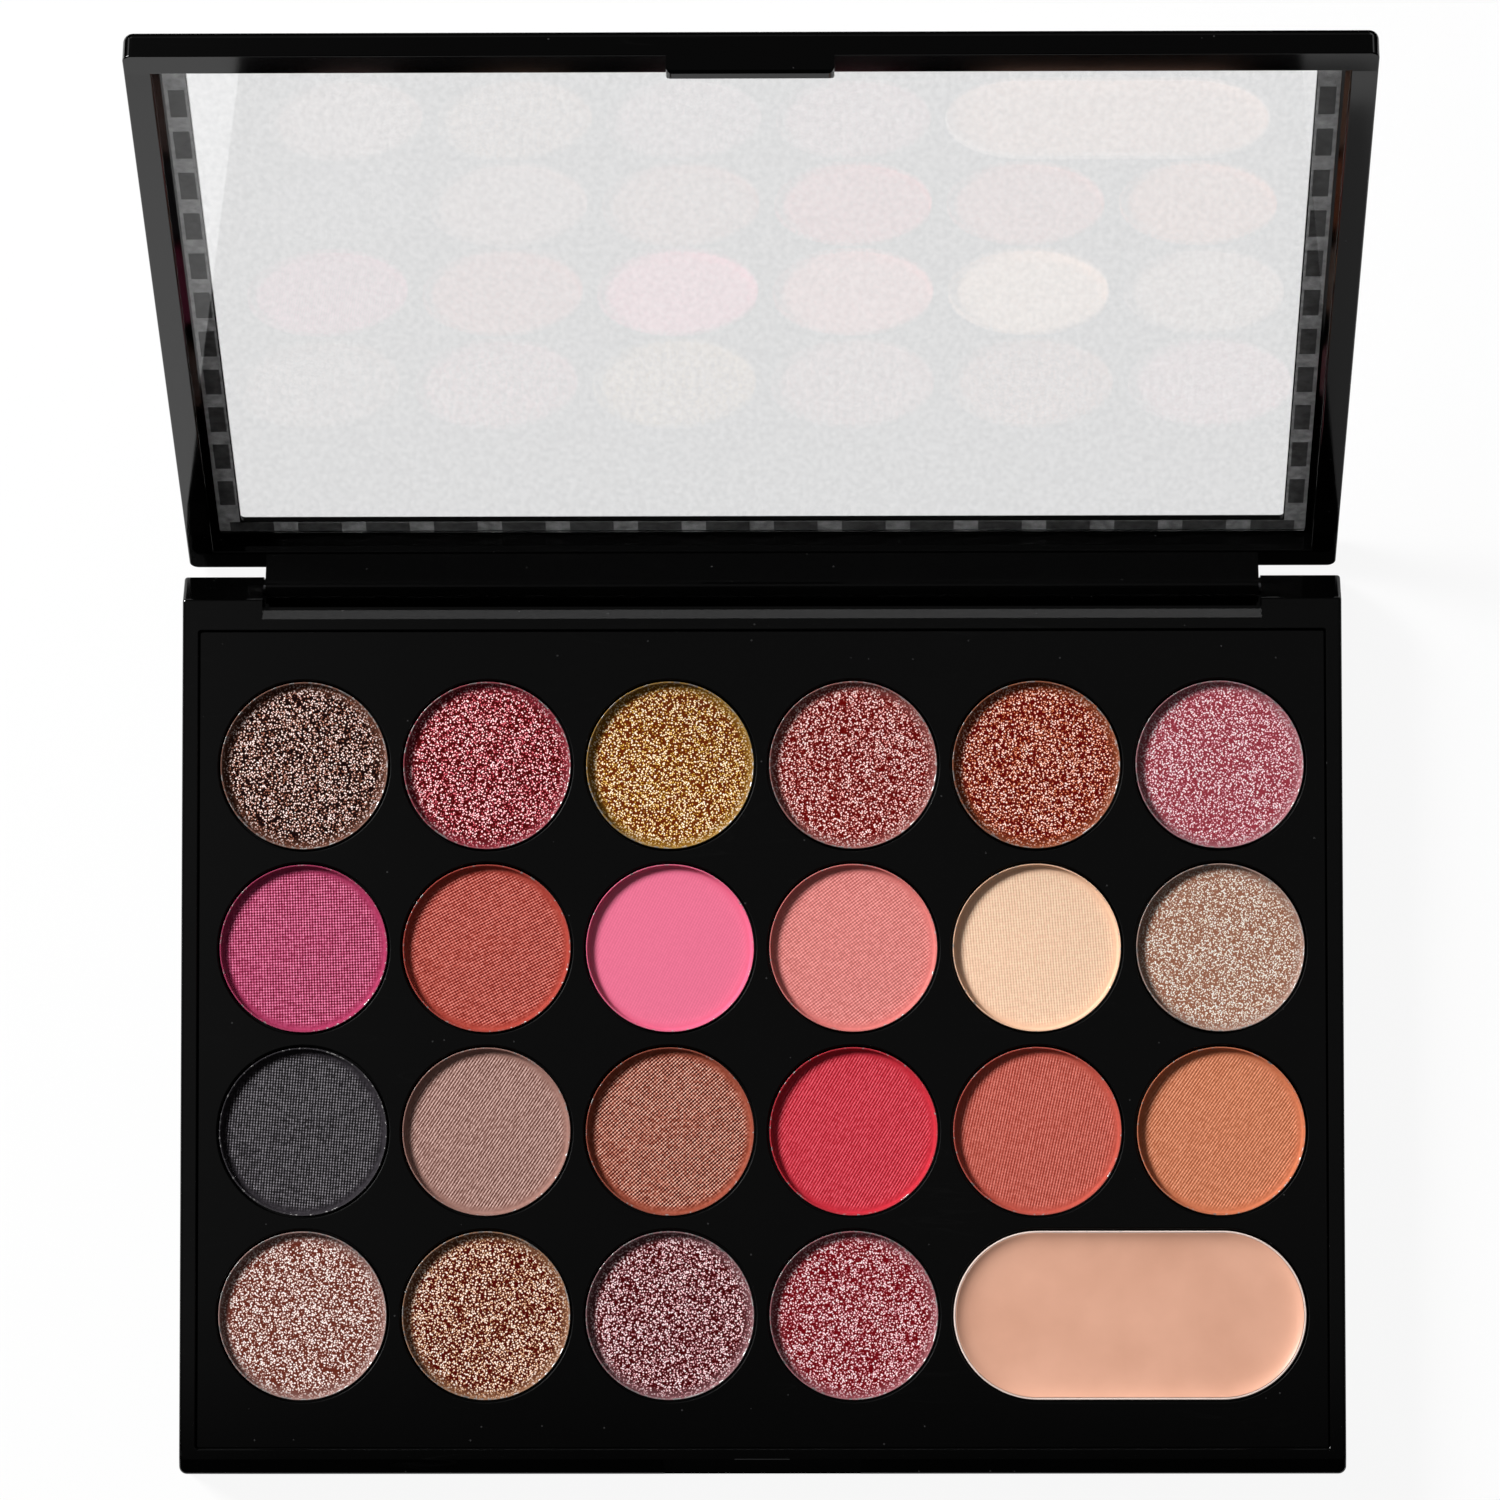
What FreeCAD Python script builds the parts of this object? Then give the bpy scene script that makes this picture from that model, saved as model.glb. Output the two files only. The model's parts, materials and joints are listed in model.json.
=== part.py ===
import FreeCAD, Part
import math
import operator
import os
from types import SimpleNamespace

import Sketcher

# Eyeshadow palette: a flat black case with twenty-three filled pans under a hinged, windowed lid.
# X runs to the right, Y to the hinge, Z up. The origin is the middle of the underside.
# The lid stands open, as far back as it goes.

ROWS = 4
COLUMNS = 6
LONG_PAN_COLUMNS = 2

# Driving sizes in millimetres, and one angle in degrees
SIZES = {
    "pan_diameter": 26.0,
    "pan_spacing": 2.4,
    "pan_height": 4.2,
    "pan_wall": 0.3,
    "pan_floor": 0.3,
    "pan_foot_round": 0.5,
    "pan_lip_round": 0.1,
    "pan_proud": 0.2,
    "powder_recess": 0.95,
    "powder_clearance": 0.05,
    "powder_edge": 0.15,
    "cream_recess": 0.4,
    "glue_thickness": 0.15,
    "glue_diameter": 9.0,
    "well_clearance": 0.35,
    "well_wall": 0.7,
    "well_floor": 0.9,
    "deck_thickness": 1.4,
    "deck_drop": 0.4,
    "deck_clearance": 0.15,
    "deck_corner_round": 0.3,
    "deck_edge_round": 0.2,
    "deck_margin_side": 3.35,
    "deck_margin_front": 7.4,
    "deck_margin_rear": 7.9,
    "base_floor": 1.5,
    "rib_height": 3.05,
    "rib_width": 1.2,
    "rib_end_gap": 4.0,
    "side_rim": 2.5,
    "rear_wall": 3.22,
    "base_edge_round": 0.6,
    "base_end_round": 0.5,
    "front_corner_round": 1.2,
    "rim_inner_round": 0.15,
    "front_slope_run": 2.2,
    "front_slope_drop": 0.6,
    "ear_width": 12.4,
    "ear_slope_run": 3.9,
    "ear_slope_drop": 3.7,
    "notch_clearance": 1.4,
    "notch_lip_run": 1.45,
    "notch_lip_drop": 1.0,
    "knuckle_radius": 2.35,
    "knuckle_flat": 0.62,
    "hinge_drop": 4.72,
    "tongue_end_gap": 0.3,
    "pin_radius": 0.6,
    "pin_grip": 0.01,
    "pin_play": 0.05,
    "pin_reach": 6.0,
    "pin_end_gap": 0.5,
    "pin_sunk": 0.3,
    "pin_chamfer": 0.15,
    "lid_open_angle": 116.0,
    "stop_gap": 0.3,
    "closing_gap": 0.2,
    "lid_side_inset": 0.5,
    "lid_skin": 0.8,
    "lid_rim_side": 4.0,
    "lid_rim_front": 4.6,
    "lid_rim_rear": 4.4,
    "lid_rear_round": 3.0,
    "lid_front_round": 1.5,
    "lid_end_round": 1.4,
    "lid_mating_round": 0.2,
    "lid_inner_round": 0.3,
    "window_recess": 3.1,
    "window_thickness": 0.7,
    "window_gap": 0.9,
    "window_corner_round": 0.6,
    "ledge_side": 3.5,
    "ledge_front": 2.9,
    "ledge_rear": 2.8,
    "bond_thickness": 0.1,
    "bond_length": 6.8,
    "bond_width": 2.4,
    "bond_pitch": 10.6,
    "tab_width": 24.0,
    "tab_drop": 3.0,
    "tab_thickness": 2.0,
    "tab_root": 1.0,
    "tab_corner_round": 0.9,
    "tab_bevel": 0.4,
    "tab_clearance": 0.3,
    "tab_side_gap": 3.2,
    "tab_end_gap": 0.8,
    "catch_wall": 1.5,
    "ridge_length": 8.5,
    "ridge_proud": 0.12,
    "ridge_height": 0.8,
    "ridge_depth": 0.9,
}

NEAR = 1e-3
CUT_PAST = 1.0
SHEET = "Sizes"

doc = FreeCAD.newDocument("EyeshadowPalette")


class Size:
    """A size held twice: as a number, and as the sheet expression that gives it."""

    def __init__(self, value, text):
        self.value = value
        self.text = text

    def __add__(self, other):
        return joined(self, "+", other)

    def __radd__(self, other):
        return joined(other, "+", self)

    def __sub__(self, other):
        return joined(self, "-", other)

    def __rsub__(self, other):
        return joined(other, "-", self)

    def __mul__(self, other):
        return joined(self, "*", other)

    def __rmul__(self, other):
        return joined(other, "*", self)

    def __truediv__(self, other):
        return joined(self, "/", other)

    def __neg__(self):
        return joined(0, "-", self)


OPERATIONS = {"+": operator.add, "-": operator.sub, "*": operator.mul, "/": operator.truediv}


def as_size(number):
    """A bare number as a size."""
    return number if isinstance(number, Size) else Size(number, str(number))


def joined(left, sign, right):
    """Two sizes joined by an arithmetic sign."""
    left = as_size(left)
    right = as_size(right)
    value = OPERATIONS[sign](left.value, right.value)
    return Size(value, "(%s %s %s)" % (left.text, sign, right.text))


def sine(angle):
    return Size(math.sin(math.radians(angle.value)), "sin(%s)" % angle.text)


def tangent(angle):
    return Size(math.tan(math.radians(angle.value)), "tan(%s)" % angle.text)


def square_root(number):
    return Size(math.sqrt(number.value), "sqrt(%s)" % number.text)


# The sheet, with one named cell for each driving size
sheet = doc.addObject("Spreadsheet::Sheet", SHEET)
for line, (name, number) in enumerate(SIZES.items(), start=1):
    sheet.set("A%d" % line, name)
    sheet.set("B%d" % line, str(number))
    sheet.setAlias("B%d" % line, name)
doc.recompute()

size = SimpleNamespace(**{name: Size(number, SHEET + "." + name) for name, number in SIZES.items()})

# The case in plan: the pan grid, the deck round it, then the rim
pan_radius = size.pan_diameter / 2
pan_pitch = size.pan_diameter + size.pan_spacing
hinge_inset = size.knuckle_radius - size.knuckle_flat
notch_depth = hinge_inset + size.knuckle_radius + size.notch_clearance
rear_rim = notch_depth + size.rear_wall
catch_depth = size.tab_thickness + size.tab_clearance
front_rim = catch_depth + size.catch_wall
grid_width = (COLUMNS - 1) * pan_pitch + size.pan_diameter
grid_depth = (ROWS - 1) * pan_pitch + size.pan_diameter
cavity_width = grid_width + 2 * (size.deck_margin_side + size.deck_clearance)
cavity_depth = grid_depth + size.deck_margin_front + size.deck_margin_rear + 2 * size.deck_clearance
base_width = cavity_width + 2 * size.side_rim
base_depth = cavity_depth + front_rim + rear_rim
base_front = -base_depth / 2
base_rear = base_depth / 2
cavity_front = base_front + front_rim
cavity_rear = base_rear - rear_rim
first_row_y = cavity_rear - size.deck_clearance - size.deck_margin_rear - pan_radius
notch_length = base_width - 2 * size.ear_width
tongue_length = notch_length - 2 * size.tongue_end_gap

# The case in height, from the floor up
cup_bottom = size.base_floor + size.rib_height
well_bottom = cup_bottom + size.well_floor
pan_bottom = well_bottom + size.glue_thickness
pan_top = pan_bottom + size.pan_height
deck_top = pan_top - size.pan_proud
deck_bottom = deck_top - size.deck_thickness
base_top = deck_top + size.deck_drop
powder_bottom = pan_bottom + size.pan_floor
powder_height = size.pan_height - size.pan_floor - size.powder_recess
cream_height = size.pan_height - size.pan_floor - size.cream_recess

# The hinge axis, and the rear lip under it that stops the opened lid
hinge_y = base_rear - hinge_inset
hinge_z = base_top - size.hinge_drop
stop_drop = hinge_inset * tangent(size.lid_open_angle / 2) + size.stop_gap / sine(size.lid_open_angle)
notch_floor = hinge_z - stop_drop

# The lid as it lies when shut, measured from the hinge axis
lid_width = base_width - 2 * size.lid_side_inset
lid_thickness = size.window_recess + size.window_thickness + size.bond_thickness + size.lid_skin
lid_low = size.hinge_drop + size.closing_gap
lid_high = lid_low + lid_thickness
lid_front = hinge_inset - base_depth
lid_rear = hinge_inset
pane_low = lid_low + size.window_recess
pane_half_width = lid_width / 2 - size.lid_rim_side - size.window_gap
pane_front = lid_front + size.lid_rim_front + size.window_gap
pane_rear = lid_rear - size.lid_rim_rear - size.window_gap


def bind(item, place, wanted):
    """Tie one property of a document object to the sheet."""
    item.setExpression(place, wanted.text)


def new_body(label):
    made = doc.addObject("PartDesign::Body", label)
    made.Label = label
    return made


def new_sketch(body, name, plane, offset=None):
    """A sketch on one of the body's own planes, moved along the plane's normal by the offset."""
    made = body.newObject("Sketcher::SketchObject", name)
    support = [item for item in body.Origin.OriginFeatures if item.Role == plane]
    made.AttachmentSupport = [(support[0], "")]
    made.MapMode = "FlatFace"
    if offset is not None:
        bind(made, "AttachmentOffset.Base.z", offset)
    return made


def pin_point(sketch, shape, point, across, up):
    """Fix a point of the sketch at its distances from the sketch's origin."""
    for kind, axis, wanted in (("DistanceX", -2, across), ("DistanceY", -1, up)):
        wanted = as_size(wanted)
        if wanted.value == 0:
            sketch.addConstraint(Sketcher.Constraint("PointOnObject", shape, point, axis))
        else:
            rule = Sketcher.Constraint(kind, -1, 1, shape, point, wanted.value)
            bind(sketch, "Constraints[%d]" % sketch.addConstraint(rule), wanted)


def set_radius(sketch, shape, radius):
    rule = Sketcher.Constraint("Radius", shape, radius.value)
    bind(sketch, "Constraints[%d]" % sketch.addConstraint(rule), radius)


def draw_outline(sketch, corners):
    """A closed outline of straight lines through the corners."""
    places = [FreeCAD.Vector(as_size(x).value, as_size(y).value, 0) for x, y in corners]
    lines = []
    for start, end in zip(places, places[1:] + places[:1]):
        lines.append(sketch.addGeometry(Part.LineSegment(start, end)))
    for line, following in zip(lines, lines[1:] + lines[:1]):
        sketch.addConstraint(Sketcher.Constraint("Coincident", line, 2, following, 1))
    for line, (x, y) in zip(lines, corners):
        pin_point(sketch, line, 1, x, y)


def draw_rectangle(sketch, left, right, low, high):
    draw_outline(sketch, [(left, low), (right, low), (right, high), (left, high)])


def draw_circle(sketch, x, y, radius):
    centre = FreeCAD.Vector(as_size(x).value, as_size(y).value, 0)
    circle = sketch.addGeometry(Part.Circle(centre, FreeCAD.Vector(0, 0, 1), radius.value))
    pin_point(sketch, circle, 3, x, y)
    set_radius(sketch, circle, radius)


def draw_slot(sketch, x, y, half_spacing, radius):
    """A round-ended slot along the sketch's first axis."""
    x = as_size(x)
    y = as_size(y)
    upright = FreeCAD.Vector(0, 0, 1)
    ends = []
    for side, start in ((1, -math.pi / 2), (-1, math.pi / 2)):
        centre = FreeCAD.Vector(x.value + side * half_spacing.value, y.value, 0)
        whole = Part.Circle(centre, upright, radius.value)
        ends.append(sketch.addGeometry(Part.ArcOfCircle(whole, start, start + math.pi)))
    sides = []
    for side in (1, -1):
        start = FreeCAD.Vector(x.value + side * half_spacing.value, y.value + side * radius.value, 0)
        end = FreeCAD.Vector(x.value - side * half_spacing.value, y.value + side * radius.value, 0)
        sides.append(sketch.addGeometry(Part.LineSegment(start, end)))
    right, left = ends
    upper, lower = sides
    for first, second in ((right, upper), (upper, left), (left, lower), (lower, right)):
        sketch.addConstraint(Sketcher.Constraint("Tangent", first, 2, second, 1))
    sketch.addConstraint(Sketcher.Constraint("Equal", right, left))
    pin_point(sketch, right, 3, x + half_spacing, y)
    pin_point(sketch, left, 3, x - half_spacing, y)
    set_radius(sketch, right, radius)


def new_feature(body, kind, name, sketch, length, reversed_way=False, both_ways=False):
    """A pad or pocket of the sketch."""
    made = body.newObject("PartDesign::" + kind, name)
    made.Profile = sketch
    made.SideType = "Symmetric" if both_ways else "One side"
    made.Reversed = reversed_way
    bind(made, "Length", length)
    doc.recompute()
    return made


def revolve(body, name, sketch):
    made = body.newObject("PartDesign::Revolution", name)
    made.Profile = sketch
    made.ReferenceAxis = (sketch, ["V_Axis"])
    made.Angle = 360
    doc.recompute()
    return made


def edge_points(edge):
    span = edge.LastParameter - edge.FirstParameter
    return [edge.valueAt(edge.FirstParameter + share * span) for share in (0, 0.5, 1)]


def lies_at(edge, axis, place):
    """Whether the whole edge lies at one place along an axis."""
    return all(abs(getattr(point, axis) - place.value) < NEAR for point in edge_points(edge))


def runs_along(edge, axis):
    """Whether the edge is a straight one along an axis."""
    start, middle, end = edge_points(edge)
    others = [other for other in "xyz" if other != axis]
    return all(
        abs(getattr(point, other) - getattr(start, other)) < NEAR
        for point in (middle, end)
        for other in others
    )


def dress_edges(body, kind, name, amount, chosen):
    """A fillet or chamfer on every edge of the body that the test chooses."""
    base = body.Tip
    numbers = [number for number, edge in enumerate(base.Shape.Edges, start=1) if chosen(edge)]
    made = body.newObject("PartDesign::" + kind, name)
    made.Base = (base, ["Edge%d" % number for number in numbers])
    bind(made, "Radius" if kind == "Fillet" else "Size", amount)
    doc.recompute()
    return made


def open_with_lid(item):
    """Stand a piece of the lid open about the hinge axis."""
    item.Placement = FreeCAD.Placement(
        FreeCAD.Vector(0, hinge_y.value, hinge_z.value),
        FreeCAD.Rotation(FreeCAD.Vector(-1, 0, 0), size.lid_open_angle.value),
    )
    bind(item, "Placement.Base.y", hinge_y)
    bind(item, "Placement.Base.z", hinge_z)
    bind(item, "Placement.Rotation.Angle", size.lid_open_angle)


def pan_places():
    """Row, column, x and y of each round pan, from the hinge side and from the left."""
    for row in range(ROWS):
        columns = COLUMNS - LONG_PAN_COLUMNS if row == ROWS - 1 else COLUMNS
        for column in range(columns):
            x = (column - (COLUMNS - 1) / 2) * pan_pitch
            y = first_row_y - row * pan_pitch
            yield row + 1, column + 1, x, y


# The long pan fills the last cells of the last row
long_pan_x = ((COLUMNS - LONG_PAN_COLUMNS) / 2) * pan_pitch
long_pan_y = first_row_y - (ROWS - 1) * pan_pitch
long_pan_half = (LONG_PAN_COLUMNS - 1) * pan_pitch / 2


def draw_pan_grid(sketch, radius):
    """A circle round each round pan's place and a slot round the long pan's."""
    for row, column, x, y in pan_places():
        draw_circle(sketch, x, y, radius)
    draw_slot(sketch, long_pan_x, long_pan_y, long_pan_half, radius)


def make_base_tray():
    """The lower case: a tray with a thick rear rim, a hinge notch between two ears and a catch recess."""
    body = new_body("base_tray")
    side = new_sketch(body, "BaseSide", "YZ_Plane")
    low_slope = base_top - size.front_slope_drop
    low_ear = base_top - size.ear_slope_drop
    corners = [
        (base_front, 0),
        (base_rear, 0),
        (base_rear, low_ear),
        (base_rear - size.ear_slope_run, base_top),
        (base_front + size.front_slope_run, base_top),
        (base_front, low_slope),
    ]
    draw_outline(side, corners)
    new_feature(body, "Pad", "BaseBlock", side, base_width, both_ways=True)
    half = base_width / 2

    def front_corner(edge):
        return lies_at(edge, "y", base_front) and runs_along(edge, "z")

    dress_edges(body, "Fillet", "FrontCorners", size.front_corner_round, front_corner)
    dress_edges(body, "Fillet", "BaseEdges", size.base_edge_round, lambda edge: runs_along(edge, "x"))
    dress_edges(
        body, "Fillet", "BaseEnds", size.base_end_round,
        lambda edge: lies_at(edge, "x", half) or lies_at(edge, "x", -half),
    )

    cavity = new_sketch(body, "CavityPlan", "XY_Plane", base_top)
    draw_rectangle(cavity, -cavity_width / 2, cavity_width / 2, cavity_front, cavity_rear)
    new_feature(body, "Pocket", "Cavity", cavity, base_top - size.base_floor)

    def cavity_corner(edge):
        inside = abs(edge_points(edge)[1].x) < half.value - size.side_rim.value + NEAR
        return inside and runs_along(edge, "z")

    cavity_round = size.deck_corner_round + size.deck_clearance
    dress_edges(body, "Fillet", "CavityCorners", cavity_round, cavity_corner)

    def cavity_edge(edge):
        within = all(
            abs(point.x) < cavity_width.value / 2 + NEAR
            and cavity_front.value - NEAR < point.y < cavity_rear.value + NEAR
            for point in edge_points(edge)
        )
        return within and lies_at(edge, "z", base_top)

    dress_edges(body, "Fillet", "CavityEdges", size.rim_inner_round, cavity_edge)

    ribs = new_sketch(body, "RibPlan", "XY_Plane", size.base_floor)
    rib_half = cavity_width / 2 - size.rib_end_gap
    for row in range(ROWS):
        y = first_row_y - row * pan_pitch
        draw_rectangle(ribs, -rib_half, rib_half, y - size.rib_width / 2, y + size.rib_width / 2)
    new_feature(body, "Pad", "Ribs", ribs, size.rib_height)

    notch = new_sketch(body, "NotchSide", "YZ_Plane")
    notch_front = base_rear - notch_depth
    draw_outline(notch, [
        (notch_front, notch_floor),
        (base_rear + CUT_PAST, notch_floor),
        (base_rear + CUT_PAST, base_top + CUT_PAST),
        (notch_front - size.notch_lip_run, base_top + CUT_PAST),
        (notch_front - size.notch_lip_run, base_top),
        (notch_front, base_top - size.notch_lip_drop),
    ])
    new_feature(body, "Pocket", "HingeNotch", notch, notch_length, both_ways=True)

    holes = new_sketch(body, "PinHoles", "YZ_Plane")
    draw_circle(holes, hinge_y, hinge_z, size.pin_radius + size.pin_grip)
    new_feature(body, "Pocket", "EarHoles", holes, base_width + CUT_PAST, both_ways=True)

    catch = new_sketch(body, "CatchPlan", "XY_Plane", base_top)
    catch_half = size.tab_width / 2 + size.tab_side_gap
    catch_back = base_front + catch_depth
    draw_rectangle(catch, -catch_half, catch_half, base_front - CUT_PAST, catch_back)
    catch_height = size.tab_drop - size.closing_gap + size.tab_end_gap
    new_feature(body, "Pocket", "CatchRecess", catch, catch_height)

    ridge = new_sketch(body, "RidgeSide", "YZ_Plane")
    ridge_top = base_top - size.ridge_depth
    ridge_low = ridge_top - size.ridge_height
    ridge_root = catch_back + size.catch_wall / 2
    ridge_front = catch_back - size.ridge_proud
    ridge_bevel = size.ridge_proud
    draw_outline(ridge, [
        (ridge_root, ridge_low),
        (ridge_root, ridge_top),
        (catch_back, ridge_top),
        (ridge_front, ridge_top - ridge_bevel),
        (ridge_front, ridge_low + ridge_bevel),
        (catch_back, ridge_low),
    ])
    new_feature(body, "Pad", "CatchRidge", ridge, size.ridge_length, both_ways=True)
    return body


def make_pan_deck():
    """The moulded insert: a plate with a cup for every pan, standing on the tray's ribs."""
    body = new_body("pan_deck")
    plan = new_sketch(body, "DeckPlan", "XY_Plane", deck_bottom)
    half = cavity_width / 2 - size.deck_clearance
    front = cavity_front + size.deck_clearance
    rear = cavity_rear - size.deck_clearance
    draw_rectangle(plan, -half, half, front, rear)
    new_feature(body, "Pad", "DeckPlate", plan, size.deck_thickness)
    dress_edges(body, "Fillet", "DeckCorners", size.deck_corner_round, lambda edge: runs_along(edge, "z"))

    cups = new_sketch(body, "CupPlan", "XY_Plane", deck_bottom)
    draw_pan_grid(cups, pan_radius + size.well_clearance + size.well_wall)
    new_feature(body, "Pad", "Cups", cups, deck_bottom - cup_bottom, reversed_way=True)

    wells = new_sketch(body, "WellPlan", "XY_Plane", deck_top)
    draw_pan_grid(wells, pan_radius + size.well_clearance)
    new_feature(body, "Pocket", "Wells", wells, deck_top - well_bottom)
    dress_edges(
        body, "Fillet", "DeckEdges", size.deck_edge_round,
        lambda edge: lies_at(edge, "z", deck_top),
    )
    return body


def make_round_pan(label, x, y):
    """A drawn metal pan with an open top."""
    body = new_body(label)
    profile = new_sketch(body, "PanProfile", "XZ_Plane")
    inner = pan_radius - size.pan_wall
    draw_outline(profile, [
        (0, 0),
        (pan_radius, 0),
        (pan_radius, size.pan_height),
        (inner, size.pan_height),
        (inner, size.pan_floor),
        (0, size.pan_floor),
    ])
    revolve(body, "PanTurn", profile)

    def foot(edge):
        return lies_at(edge, "z", as_size(0))

    dress_edges(body, "Fillet", "PanFoot", size.pan_foot_round, foot)
    dress_edges(
        body, "Fillet", "PanLip", size.pan_lip_round,
        lambda edge: lies_at(edge, "z", size.pan_height),
    )
    place(body, x, y, pan_bottom)
    return body


def make_powder(label, x, y):
    """A pressed cake, flat on top and sunk below the pan's lip."""
    body = new_body(label)
    profile = new_sketch(body, "CakeProfile", "XZ_Plane")
    outer = pan_radius - size.pan_wall - size.powder_clearance
    draw_outline(profile, [
        (0, 0),
        (outer, 0),
        (outer, powder_height - size.powder_edge),
        (outer - size.powder_edge, powder_height),
        (0, powder_height),
    ])
    revolve(body, "CakeTurn", profile)
    place(body, x, y, powder_bottom)
    return body


def place(body, x, y, z):
    """Stand a piece at its place in the case."""
    for axis, wanted in (("x", x), ("y", y), ("z", z)):
        bind(body, "Placement.Base." + axis, wanted)


def make_long_pan():
    """The round-ended pan that takes the place of two round ones."""
    body = new_body("cream_pan")
    outer = new_sketch(body, "LongPanPlan", "XY_Plane")
    draw_slot(outer, 0, 0, long_pan_half, pan_radius)
    new_feature(body, "Pad", "LongPanBlock", outer, size.pan_height)
    inner = new_sketch(body, "LongPanInside", "XY_Plane", size.pan_height)
    draw_slot(inner, 0, 0, long_pan_half, pan_radius - size.pan_wall)
    new_feature(body, "Pocket", "LongPanHollow", inner, size.pan_height - size.pan_floor)
    dress_edges(
        body, "Fillet", "LongPanFoot", size.pan_foot_round, lambda edge: lies_at(edge, "z", as_size(0))
    )
    dress_edges(
        body, "Fillet", "LongPanLip", size.pan_lip_round, lambda edge: lies_at(edge, "z", size.pan_height)
    )
    place(body, long_pan_x, long_pan_y, pan_bottom)
    return body


def make_cream():
    """The poured cream, almost level with its pan's lip."""
    body = new_body("cream_fill")
    plan = new_sketch(body, "CreamPlan", "XY_Plane")
    draw_slot(plan, 0, 0, long_pan_half, pan_radius - size.pan_wall - size.powder_clearance)
    new_feature(body, "Pad", "CreamBlock", plan, cream_height)
    place(body, long_pan_x, long_pan_y, powder_bottom)
    return body


def make_glue_dots():
    """One dot of glue under each round pan and one under each end of the long pan."""
    places = [(x.value, y.value) for row, column, x, y in pan_places()]
    for side in (-1, 1):
        places.append((long_pan_x.value + side * long_pan_half.value, long_pan_y.value))
    dots = []
    for x, y in places:
        centre = FreeCAD.Vector(x, y, 0)
        dots.append(Part.makeCylinder(sheet.glue_diameter / 2, sheet.glue_thickness, centre))
    made = doc.addObject("Part::Feature", "pan_glue_dots")
    made.Label = "pan_glue_dots"
    made.Shape = Part.makeCompound(dots)
    bind(made, "Placement.Base.z", well_bottom)
    return made


def make_lid_frame():
    """The lid moulding: a rimmed frame round the window, with the hinge tongue and the catch tab."""
    body = new_body("lid_frame")
    half = lid_width / 2
    side = new_sketch(body, "LidSide", "YZ_Plane")
    draw_rectangle(side, lid_front, lid_rear, lid_low, lid_high)
    new_feature(body, "Pad", "LidBlock", side, lid_width, both_ways=True)
    for name, rounding, along in (
        ("LidRearTop", size.lid_rear_round, lid_rear),
        ("LidFrontTop", size.lid_front_round, lid_front),
    ):
        dress_edges(
            body, "Fillet", name, rounding,
            lambda edge: lies_at(edge, "y", along) and lies_at(edge, "z", lid_high),
        )

    def end_edge(edge):
        at_end = lies_at(edge, "x", half) or lies_at(edge, "x", -half)
        return at_end and not lies_at(edge, "z", lid_low)

    dress_edges(body, "Fillet", "LidEnds", size.lid_end_round, end_edge)
    dress_edges(
        body, "Fillet", "LidMatingEdges", size.lid_mating_round,
        lambda edge: lies_at(edge, "z", lid_low),
    )

    recess = new_sketch(body, "LidRecessPlan", "XY_Plane", lid_low)
    recess_half = half - size.lid_rim_side
    recess_front = lid_front + size.lid_rim_front
    recess_rear = lid_rear - size.lid_rim_rear
    draw_rectangle(recess, -recess_half, recess_half, recess_front, recess_rear)
    new_feature(body, "Pocket", "LidRecess", recess, lid_thickness - size.lid_skin, reversed_way=True)

    def recess_edge(edge):
        within = all(
            abs(point.x) < recess_half.value + NEAR and recess_front.value - NEAR < point.y
            for point in edge_points(edge)
        )
        return within and lies_at(edge, "z", lid_low) and edge_points(edge)[1].y < recess_rear.value + NEAR

    dress_edges(body, "Fillet", "LidRecessEdges", size.lid_inner_round, recess_edge)

    opening = new_sketch(body, "WindowPlan", "XY_Plane", lid_low)
    opening_half = pane_half_width - size.ledge_side
    opening_front = pane_front + size.ledge_front
    opening_rear = pane_rear - size.ledge_rear
    draw_rectangle(opening, -opening_half, opening_half, opening_front, opening_rear)
    new_feature(body, "Pocket", "WindowOpening", opening, lid_thickness + CUT_PAST, reversed_way=True)

    def opening_corner(edge):
        corner = abs(abs(edge_points(edge)[1].x) - opening_half.value) < NEAR
        return corner and runs_along(edge, "z")

    dress_edges(body, "Fillet", "WindowCorners", size.window_corner_round, opening_corner)

    tongue = new_sketch(body, "TongueSide", "YZ_Plane")
    draw_tongue(tongue, lid_low + size.window_recess / 2)
    new_feature(body, "Pad", "HingeTongue", tongue, tongue_length, both_ways=True)
    for name, end, reversed_way in (
        ("BoreRight", tongue_length / 2, False),
        ("BoreLeft", -tongue_length / 2, True),
    ):
        bore = new_sketch(body, name + "Plan", "YZ_Plane", end)
        draw_circle(bore, 0, 0, size.pin_radius + size.pin_play)
        new_feature(body, "Pocket", name, bore, size.pin_reach + size.pin_end_gap, reversed_way)

    tab = new_sketch(body, "TabFace", "XZ_Plane", -lid_front)
    tab_low = lid_low - size.tab_drop
    draw_rectangle(tab, -size.tab_width / 2, size.tab_width / 2, tab_low, lid_low + size.tab_root)
    new_feature(body, "Pad", "CatchTab", tab, size.tab_thickness, reversed_way=True)

    def tab_corner(edge):
        return lies_at(edge, "z", tab_low) and runs_along(edge, "y")

    dress_edges(body, "Fillet", "TabCorners", size.tab_corner_round, tab_corner)
    bevel = new_sketch(body, "TabBevelSide", "YZ_Plane")
    for face, inward in ((lid_front, 1), (lid_front + size.tab_thickness, -1)):
        draw_outline(bevel, [
            (face, tab_low),
            (face + inward * size.tab_bevel, tab_low),
            (face, tab_low + size.tab_bevel),
        ])
    new_feature(body, "Pocket", "TabBevel", bevel, size.tab_width + CUT_PAST, both_ways=True)
    open_with_lid(body)
    return body


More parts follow.
